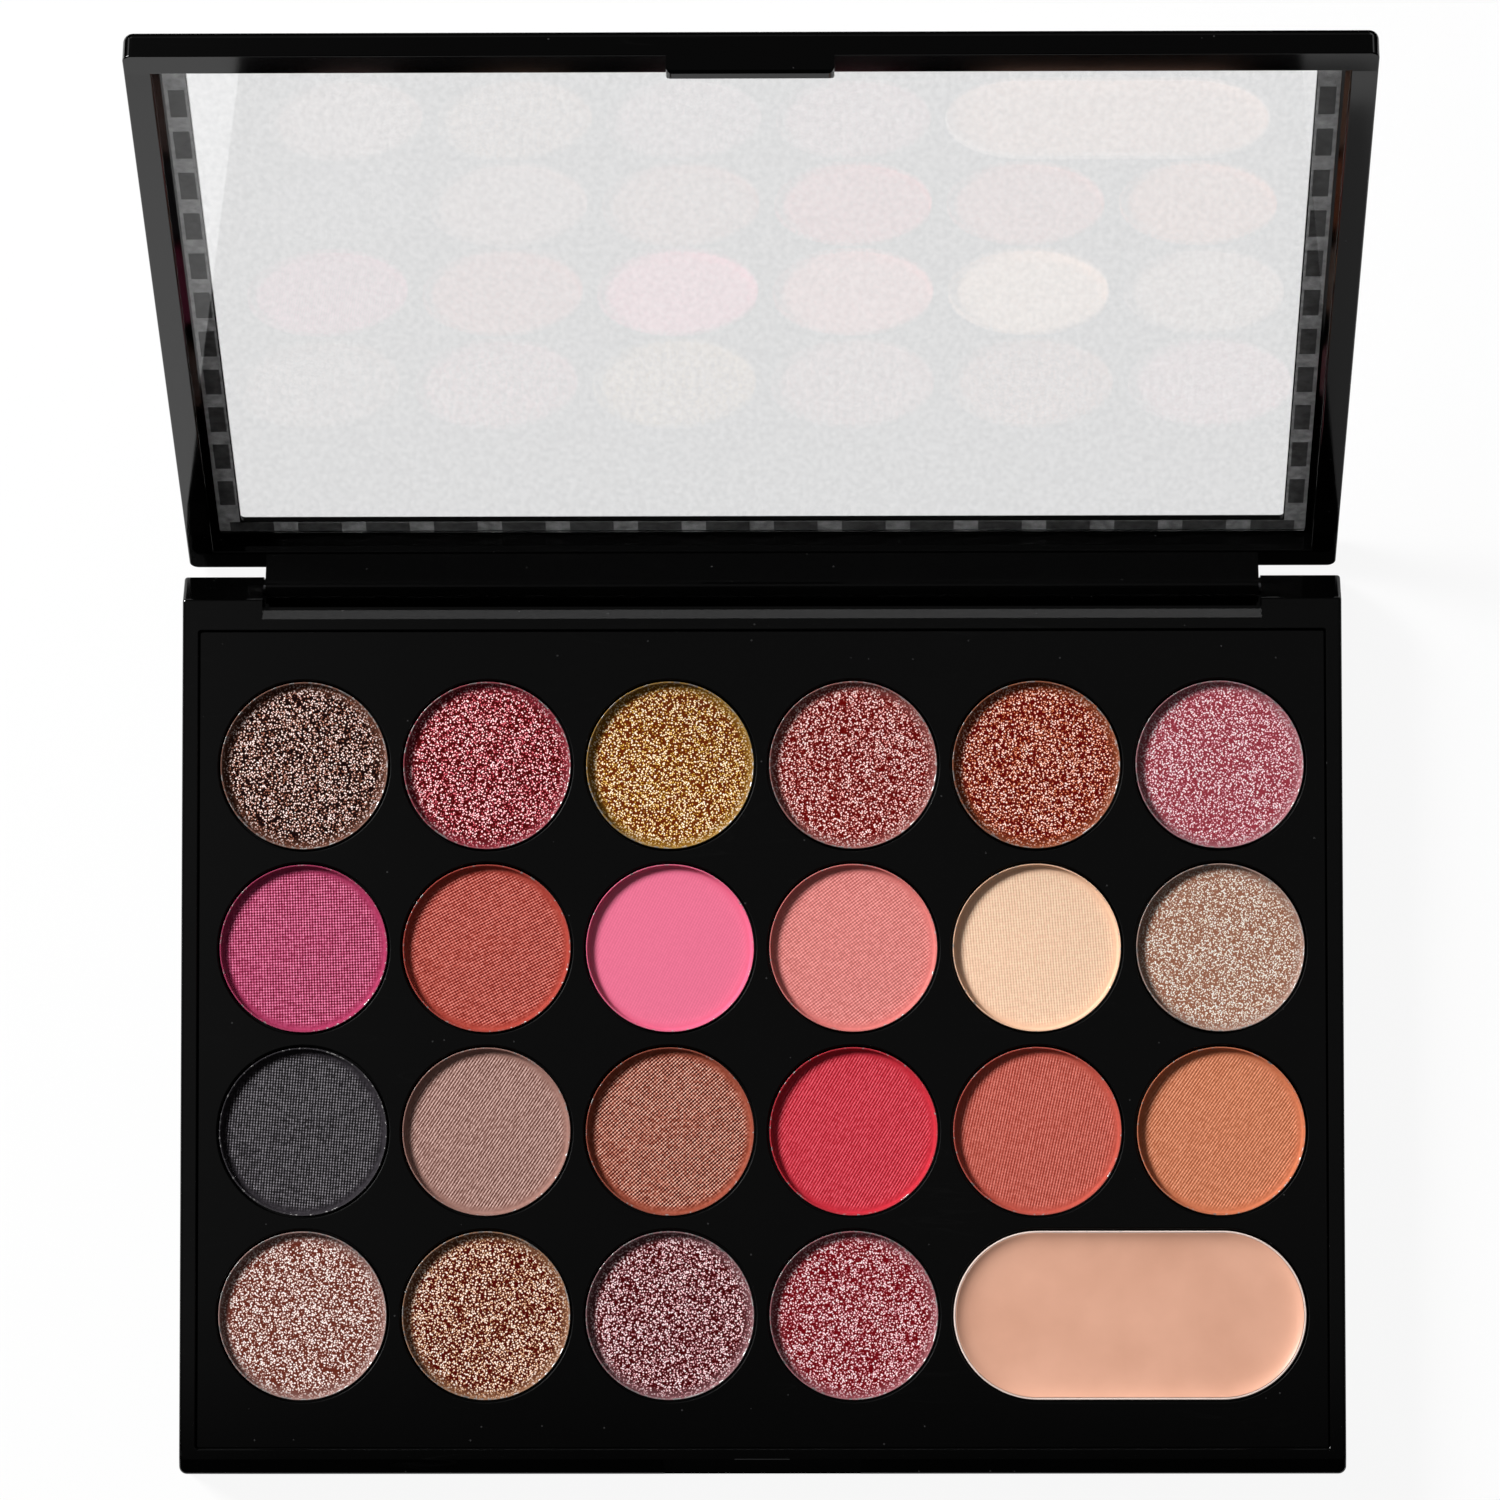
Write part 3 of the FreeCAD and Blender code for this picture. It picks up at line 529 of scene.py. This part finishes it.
# The cake's flat top has rings at shares of its radius. Its edge, in mm out from the radius and up
# from the top, curves into the pigment that clings to the wall and comes down again behind it.
CAKE_RINGS = (0.0, 0.35, 0.7)
CAKE_EDGE = (
    (-1.6, 0.0), (-0.4, 0.0), (-0.16, 0.04), (-0.02, 0.2), (0.14, 0.62), (0.02, 0.2), (0.0, 0.0),
)
CLING_RAGGED_FROM = 0.372 * MM
CLING_RAGGED = 0.2 * MM
CLING_RAGGED_SCALE = 900


def press_cake(node):
    """A cake turned about its pan's axis: flat on top, with pigment clinging up the flared wall."""
    low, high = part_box(node)
    radius = (high[0] - low[0]) / 2
    top = high[2]
    profile = [(radius * share, top) for share in CAKE_RINGS]
    profile += [(radius + across * MM, top + up * MM) for across, up in CAKE_EDGE]
    profile += [(radius, low[2]), (0.0, low[2])]
    shape = turn_profile(profile, pan_middle(node))
    for point in shape.verts:
        if point.co.z > top + CLING_RAGGED_FROM:
            point.co.z += CLING_RAGGED * noise.noise(point.co * CLING_RAGGED_SCALE)
    return finish_piece(shape, node.replace("powder", "cake"), node)


GLITTER_FLAKES = 3215.0
SHIMMER_FLAKES = 3500.0
low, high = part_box("powder_row1_col1")
CAKE_RADIUS = (high[0] - low[0]) / 2
for shades, flake_scale in ((GLITTERS, GLITTER_FLAKES), (SHIMMERS, SHIMMER_FLAKES)):
    for cell, (name, *looks) in shades.items():
        node = "powder_" + cell
        middle = pan_middle(node)
        made = glitter_powder("glitter_" + name, *looks, middle, CAKE_RADIUS, flake_scale)
        press_cake(node).data.materials.append(made)
for cell, (name, *looks) in WOVEN.items():
    node = "powder_" + cell
    made = woven_powder("matte_" + name, *looks, pan_middle(node), CAKE_RADIUS)
    press_cake(node).data.materials.append(made)

# Pans: thin cups drawn from bright metal sheet, each glued into its well.
# The wall flares to a thin rolled lip, and pigment from the pressing dulls it.
# The lip is in mm out from the rim and up from the top, the foot up from the base.
PAN_FLOOR = 0.3 * MM
PAN_WALL = 0.28 * MM
LIP_EDGE = (
    (-0.28, -0.85), (-0.22, -0.10), (-0.19, -0.04), (-0.03, 0.0), (-0.01, -0.015), (0.0, -0.06),
)
FOOT_EDGE = ((0.0, 0.5), (-0.15, 0.15), (-0.5, 0.0))
BARE_METAL = (0.50, 0.49, 0.48, 1.0)
BARE_ROUGHNESS = 0.42
DUSTED_ROUGHNESS = 0.85
COVER_SCALE = 1500.0
COVER_BAND = (0.62, 0.72)
COVER_REACH = 0.3


def draw_pan(node):
    """A cup turned about its own axis, from the middle of its floor over the lip to its foot."""
    low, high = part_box(node)
    outer = (high[0] - low[0]) / 2
    foot, lip = low[2], high[2]
    profile = [(0.0, foot + PAN_FLOOR), (outer - PAN_WALL, foot + PAN_FLOOR)]
    profile += [(outer + across * MM, lip + up * MM) for across, up in LIP_EDGE]
    profile += [(outer + across * MM, foot + up * MM) for across, up in FOOT_EDGE]
    profile.append((0.0, foot))
    shape = turn_profile(profile, pan_middle(node))
    return finish_piece(shape, node.replace("pan", "cup"), node)


def dusted_metal(name, shade, dusting):
    """Bright metal under specks of dull pigment, more of them as the dusting rises."""
    made, tree, shader, place = start_material(name)
    band = [end - COVER_REACH * dusting for end in COVER_BAND]
    cover = noise_band(tree, place, COVER_SCALE, detail=3.0, band=band)
    colour = mix_colours(tree, cover, BARE_METAL, linear(deeper(shade)))
    join_inputs(tree, shader, {
        "Base Color": colour,
        "Metallic": remap(tree, cover, 0.0, 1.0, 1.0, 0.0),
        "Roughness": remap(tree, cover, 0.0, 1.0, BARE_ROUGHNESS, DUSTED_ROUGHNESS),
    })
    return made


DUSTINGS = ((GLITTERS, 0.75, settled), (SHIMMERS, 0.8, settled), (WOVEN, 1.0, tuple))
for shades, dusting, look in DUSTINGS:
    for cell, (name, shade, *_) in shades.items():
        metal = dusted_metal("pan_metal_" + name, look(shade), dusting)
        draw_pan("pan_" + cell).data.materials.append(metal)

# Cream: a long pan filled with poured cream, which shrank as it set and left a wide dished border.
# The pan is drawn from the same sheet as the round ones. Cream covers its lip, painted paler than
# the cream: a painted highlight along the rim.
CREAM = (234, 177, 150)
CREAM_LIP_PAINTED_HIGHLIGHT = (255, 234, 224)
CREAM_LIP_COVER = 1.3
CREAM_CLOUD = 5
CREAM_CLOUD_SCALE = 120.0
CREAM_GRAIN_SCALE = 1800.0
CREAM_GRAIN = 0.02 * MM
CREAM_STEPS = 160
CREAM_RISE = 0.36 * MM
# Each fall of the border towards the middle, in mm in from the last one and up.
CREAM_FALLS = (
    (0.08, -0.04), (0.25, -0.12), (0.4, -0.17), (0.6, -0.17), (0.9, -0.12), (1.1, -0.08),
    (1.4, -0.05), (1.8, -0.03), (2.4, -0.01),
)
# The lip's pale tone is a painted highlight.
dress("cream_pan", dusted_metal("pan_metal_cream", CREAM_LIP_PAINTED_HIGHLIGHT, CREAM_LIP_COVER))
low, high = (Vector(corner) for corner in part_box("cream_fill"))
middle = (low + high) / 2
end_radius = (high.y - low.y) / 2
spread = (high.x - low.x) / 2 - end_radius
shape = bmesh.new()
bmesh.ops.create_circle(shape, cap_ends=False, radius=end_radius, segments=CREAM_STEPS)
for point in shape.verts:
    side = 0 if abs(point.co.x) < JOINING else math.copysign(spread, point.co.x)
    point.co += Vector((middle.x + side, middle.y, low.z))
rim = bmesh.ops.extrude_edge_only(shape, edges=shape.edges[:])["geom"]
raised = [item for item in rim if isinstance(item, bmesh.types.BMVert)]
bmesh.ops.translate(shape, verts=raised, vec=(0, 0, high.z - low.z + CREAM_RISE))
bmesh.ops.holes_fill(shape, edges=[edge for edge in shape.edges if edge.is_boundary], sides=0)
bmesh.ops.recalc_face_normals(shape, faces=shape.faces)
surface = max(shape.faces, key=lambda face: face.calc_center_median().z)
for thickness, depth in CREAM_FALLS:
    bmesh.ops.inset_region(
        shape, faces=[surface], thickness=thickness * MM, depth=depth * MM, use_even_offset=True
    )
cream = finish_piece(shape, "cream_surface", "cream_fill")
poured, tree, shader, place = start_material("poured_cream")
cloud = noise_band(tree, place, CREAM_CLOUD_SCALE, detail=3.0)
tones = [linear(lighter(CREAM, step)) for step in (-CREAM_CLOUD, CREAM_CLOUD)]
colour = mix_colours(tree, cloud, *tones)
fine = add_noise(tree, place, CREAM_GRAIN_SCALE, detail=3.0)["Fac"]
bump = add_node(tree, "Bump", {"Height": fine, "Strength": 0.25, "Distance": CREAM_GRAIN})
join_inputs(tree, shader, {"Base Color": colour, "Roughness": 0.28, "Normal": bump.outputs[0]})
cream.data.materials.append(poured)

# Hinge pins: short steel wire pins, pressed through the ears into the lid's knuckle.
# Only their ends show, sunk in the sides of the case.
STEEL = (0.52, 0.52, 0.54, 1.0)
DRAWN_ALONG = (1, 40, 40)
DRAWN_SCALE = 300.0
steel, tree, shader, place = start_material("drawn_steel")
lines = add_node(tree, "Mapping", {"Vector": place, "Scale": DRAWN_ALONG}).outputs[0]
rough = noise_band(tree, lines, DRAWN_SCALE, detail=2.0, ends=(0.22, 0.4))
join_inputs(tree, shader, {"Base Color": STEEL, "Metallic": 1.0, "Roughness": rough})
for node in ("hinge_pin_left", "hinge_pin_right"):
    dress(node, steel)

# Lid frame: the upper half of the case, moulded with its hinge tongue and its catch tab.
# It is the same glossy black plastic as the tray.
# As it cooled, the front rim sank a hair towards the window.
RIM_WIDTH = 4.6 * MM
RIM_FALL = 0.07 * MM
RIM_SKIN = 0.4 * MM
RIM_SLACK = 0.01 * MM
MATING_HEIGHT = 4.92 * MM
hinge = frame["joints"][0]
hinge_point = Vector(hinge["pos_m"])
opened = Matrix.Rotation(-math.radians(hinge["range_deg"][1]), 3, "X")
along_lid = opened @ Vector((0, -1, 0))
inwards = opened @ Vector((0, 0, -1))
shape = copy_node("lid_frame")
reach = max((point.co - hinge_point).dot(along_lid) for point in shape.verts)
bend = reach - RIM_WIDTH
bmesh.ops.bisect_plane(
    shape, geom=shape.verts[:] + shape.edges[:] + shape.faces[:], dist=JOINING,
    plane_co=hinge_point + bend * along_lid, plane_no=along_lid,
)
for point in shape.verts:
    away = point.co - hinge_point
    depth = -MATING_HEIGHT - away.dot(inwards)
    if -RIM_SLACK < depth < RIM_SKIN:
        along = away.dot(along_lid)
        share = (reach - along) / RIM_WIDTH if along > bend else max(0.0, along / bend)
        point.co -= inwards * RIM_FALL * share
lid = finish_piece(shape, "lid_moulding", "lid_frame", "lid", smooth=False)
lid.data.materials.append(gloss_black)

# Lid window: a clear plastic pane laid into the lid from inside.
# It was drawn as sheet, which left a fine grain, and wiping has made its gloss a little uneven.
THIN_TINT = (0.885, 0.885, 0.888, 1.0)
THICK_TINT = (0.81, 0.812, 0.816, 1.0)
SHEET_DRAWN = (1.0, 0.6, 0.6)
SHEET_GRAIN_SCALE = 1150.0
WIPED_SCALE = 30.0
WIPED_ROUGHNESS = 0.03
PANE_IOR = 1.49
LIGHT_LET_BY = 0.96
clear, tree, shader, place = start_material("clear_pane")
rough = noise_band(
    tree, place, WIPED_SCALE, detail=4.0, band=(0.35, 0.7), ends=(0.0, WIPED_ROUGHNESS)
)
drawn = add_node(tree, "Mapping", {"Vector": place, "Scale": SHEET_DRAWN}).outputs[0]
grain = noise_band(tree, drawn, SHEET_GRAIN_SCALE, detail=2.0, band=(0.35, 0.65))
tint = mix_colours(tree, grain, THICK_TINT, THIN_TINT)
join_inputs(tree, shader, {"Base Color": tint, "Roughness": rough})
shader.inputs["Transmission Weight"].default_value = 1.0
shader.inputs["IOR"].default_value = PANE_IOR
light_path = add_node(tree, "LightPath")
lets_light_by = add_node(tree, "BsdfTransparent", {"Color": grey(LIGHT_LET_BY)})
shaded = add_node(tree, "MixShader", {
    0: light_path.outputs["Is Shadow Ray"], 1: shader.outputs[0], 2: lets_light_by.outputs[0],
})
tree.links.new(shaded.outputs[0], tree.nodes["Material Output"].inputs["Surface"])
dress("lid_window", clear)

# Bond pads: dark adhesive pads on a cloudy tape, between the pane and the lid's ledge.
# They wet the pane, so they reach a hair into its face.
WETTING = 0.05 * MM
WET_SKIN = 0.02 * MM
TAPE = 0.02 * MM
SIDE_TAPE = 3.3 * MM
REAR_TAPE = 2.6 * MM
FRONT_TAPE = 2.7 * MM
ADHESIVES = (("dark_adhesive", 0.02, 0.06), ("cloudy_tape", 0.16, 0.38))
BLOTCH_SCALE = 700.0
shape = copy_node("window_bond_pads")
heights = [point.co.dot(inwards) for point in shape.verts]
wet_from = max(heights) - WET_SKIN
wet_side = [point for point, height in zip(shape.verts, heights) if height > wet_from]
bmesh.ops.translate(shape, verts=wet_side, vec=inwards * WETTING)
pad_faces = set(shape.faces)
pane = [point.co - hinge_point for point in frame["nodes"]["lid_window"].data.vertices]
half = max(point.x for point in pane)
rear = min(point.dot(along_lid) for point in pane)
front = max(point.dot(along_lid) for point in pane)
ledge = hinge_point + (min(heights) - hinge_point.dot(inwards)) * inwards
border = []
for across, start, end in (
    (half, rear, front), (half - SIDE_TAPE, rear + REAR_TAPE, front - FRONT_TAPE),
):
    corners = [
        shape.verts.new(ledge + side * Vector((1, 0, 0)) + along * along_lid)
        for side, along in ((-across, start), (across, start), (across, end), (-across, end))
    ]
    border += [shape.edges.new(pair) for pair in zip(corners, corners[1:] + corners[:1])]
tape = bmesh.ops.bridge_loops(shape, edges=border)["faces"]
lifted = bmesh.ops.extrude_face_region(shape, geom=tape, use_keep_orig=True)["geom"]
lifted = [item for item in lifted if isinstance(item, bmesh.types.BMVert)]
bmesh.ops.translate(shape, verts=lifted, vec=inwards * TAPE)
bmesh.ops.recalc_face_normals(shape, faces=[face for face in shape.faces if face not in pad_faces])
for face in shape.faces:
    face.material_index = 0 if face in pad_faces else 1
pads = finish_piece(shape, "bond_pads", "window_bond_pads", "lid", smooth=False)
for name, dark, pale in ADHESIVES:
    adhesive, tree, shader, place = start_material(name)
    blotch = noise_band(tree, place, BLOTCH_SCALE, detail=3.0)
    colour = mix_colours(tree, blotch, grey(dark), grey(pale))
    join_inputs(tree, shader, {"Base Color": colour, "Roughness": 0.55})
    pads.data.materials.append(adhesive)

# Floor: a plain white table top, which keeps a soft shadow under the palette.
# The camera sees it close to white, and white through the pane. Gloss sees it mostly as it is lit.
FLOOR_SIZE = 2.0
FLOOR_REAR = 0.23
FLOOR_GREY = 0.85
WHITE_TO_CAMERA = 0.92
WHITE_IN_GLOSS = 0.15


def seen_through(tree, paths):
    """1 for a ray that has come straight through the pane, without a reflection on its way."""
    return add_math(tree, "SUBTRACT", paths["Is Transmission Ray"], paths["Glossy Depth"])


shape = bmesh.new()
bmesh.ops.create_grid(shape, x_segments=1, y_segments=1, size=FLOOR_SIZE)
bmesh.ops.translate(shape, verts=shape.verts, vec=(0, FLOOR_REAR - FLOOR_SIZE, 0))
mesh = bpy.data.meshes.new("floor")
shape.to_mesh(mesh)
shape.free()
floor = bpy.data.objects.new("floor", mesh)
bpy.context.scene.collection.objects.link(floor)
table_top, tree, shader, place = start_material("white_table_top")
join_inputs(tree, shader, {"Base Color": grey(FLOOR_GREY), "Roughness": 0.9})
paths = add_node(tree, "LightPath").outputs
white = add_node(tree, "Emission", {"Color": grey(1.0), "Strength": 1.0})
share = add_math(tree, "MULTIPLY", paths["Is Camera Ray"], WHITE_TO_CAMERA)
share = add_math(tree, "MAXIMUM", share, seen_through(tree, paths))
in_gloss = add_math(tree, "MULTIPLY", paths["Is Glossy Ray"], WHITE_IN_GLOSS)
share = add_math(tree, "MAXIMUM", share, in_gloss)
surface = add_node(tree, "MixShader", {0: share, 1: shader.outputs[0], 2: white.outputs[0]})
tree.links.new(surface.outputs[0], tree.nodes["Material Output"].inputs["Surface"])
mesh.materials.append(table_top)

# Studio: one large soft lamp from the left rear, in a dim room with a low white backdrop behind.
# The camera sees white all round, also through the pane. Gloss sees the backdrop where it stands,
# and a dim ceiling that is darker in front, where the camera's stand hides it, and lighter at left.
ROOM_LEVEL = 0.12
CEILING_LEVEL = 0.095
WALL_LEVEL = 0.045
CEILING_EDGE = (0.93, 0.985)
TABLE_EDGE = (-0.02, 0.02)
STAND_EDGE = (-0.01, 0.004)
STAND_SHADE = 0.08
LEFT_EDGE = (-0.10, -0.05)
LEFT_GAIN = 1.8
BACKDROP_FOOT = (0.10, 0.14)
BACKDROP_TOP = (0.31, 0.36)
BACKDROP_SIDES = (0.55, 0.75)
world = bpy.data.worlds.new("studio")
bpy.context.scene.world = world
world.use_nodes = True
tree = world.node_tree
paths = add_node(tree, "LightPath").outputs
way = add_node(tree, "SeparateXYZ", {0: add_node(tree, "TexCoord").outputs["Generated"]}).outputs
ceiling = remap(tree, way["Z"], *CEILING_EDGE, WALL_LEVEL, CEILING_LEVEL)
stand = remap(tree, way["Y"], *STAND_EDGE, STAND_SHADE, 1.0)
left = remap(tree, way["X"], *LEFT_EDGE, LEFT_GAIN, 1.0)
ceiling = add_math(tree, "MULTIPLY", ceiling, stand)
ceiling = add_math(tree, "MULTIPLY", ceiling, left)
above_table = add_math(tree, "MULTIPLY", ceiling, remap(tree, way["Z"], *TABLE_EDGE))
foot = remap(tree, way["Z"], *BACKDROP_FOOT)
top = remap(tree, way["Z"], *BACKDROP_TOP, 1.0, 0.0)
backdrop = add_math(tree, "MULTIPLY", foot, top)
backdrop = add_math(tree, "MULTIPLY", backdrop, remap(tree, way["Y"], *BACKDROP_SIDES))
gloss_level = add_math(tree, "MAXIMUM", above_table, backdrop)
mirrored = add_math(tree, "MAXIMUM", paths["Is Glossy Ray"], paths["Is Transmission Ray"])
level = remap(tree, mirrored, 0.0, 1.0, ROOM_LEVEL, gloss_level)
seen = add_math(tree, "MAXIMUM", paths["Is Camera Ray"], seen_through(tree, paths))
level = remap(tree, seen, 0.0, 1.0, level, 1.0)
join_inputs(tree, tree.nodes["Background"], {"Color": grey(1.0), "Strength": level})


def soft_lamp(name, turn, height, distance, width, depth, power):
    """A lamp aimed at the palette from a compass turn and a height, both in degrees."""
    data = bpy.data.lights.new(name, "AREA")
    data.shape = "RECTANGLE"
    data.size = width
    data.size_y = depth
    data.energy = power
    lamp = bpy.data.objects.new(name, data)
    lamp.visible_camera = False
    turn = math.radians(turn)
    height = math.radians(height)
    way = Vector((
        math.cos(turn) * math.cos(height), math.sin(turn) * math.cos(height), math.sin(height),
    ))
    lamp.location = way * distance
    lamp.rotation_euler = way.to_track_quat("Z", "Y").to_euler()
    bpy.context.scene.collection.objects.link(lamp)


soft_lamp("key_lamp", turn=148, height=31, distance=1.6, width=0.45, depth=0.45, power=42.5)

# Camera: high over the open palette, a little in front and to the right of its middle.
# A long lens keeps the lid's sides nearly parallel.
SENSOR_MM = 36.0
LENS_MM = 203.93
CAMERA_PLACE = (0.01759, -0.05556, 1.32404)
CAMERA_TURN = (4.2545, 0.8474, -0.0315)
lens = bpy.data.cameras.new("camera")
lens.sensor_width = SENSOR_MM
lens.sensor_fit = "HORIZONTAL"
lens.lens = LENS_MM
lens.clip_end = 20.0
camera = bpy.data.objects.new("camera", lens)
camera.location = CAMERA_PLACE
camera.rotation_euler = [math.radians(angle) for angle in CAMERA_TURN]
bpy.context.scene.collection.objects.link(camera)
bpy.context.scene.camera = camera
bpy.context.scene.view_settings.view_transform = "Standard"
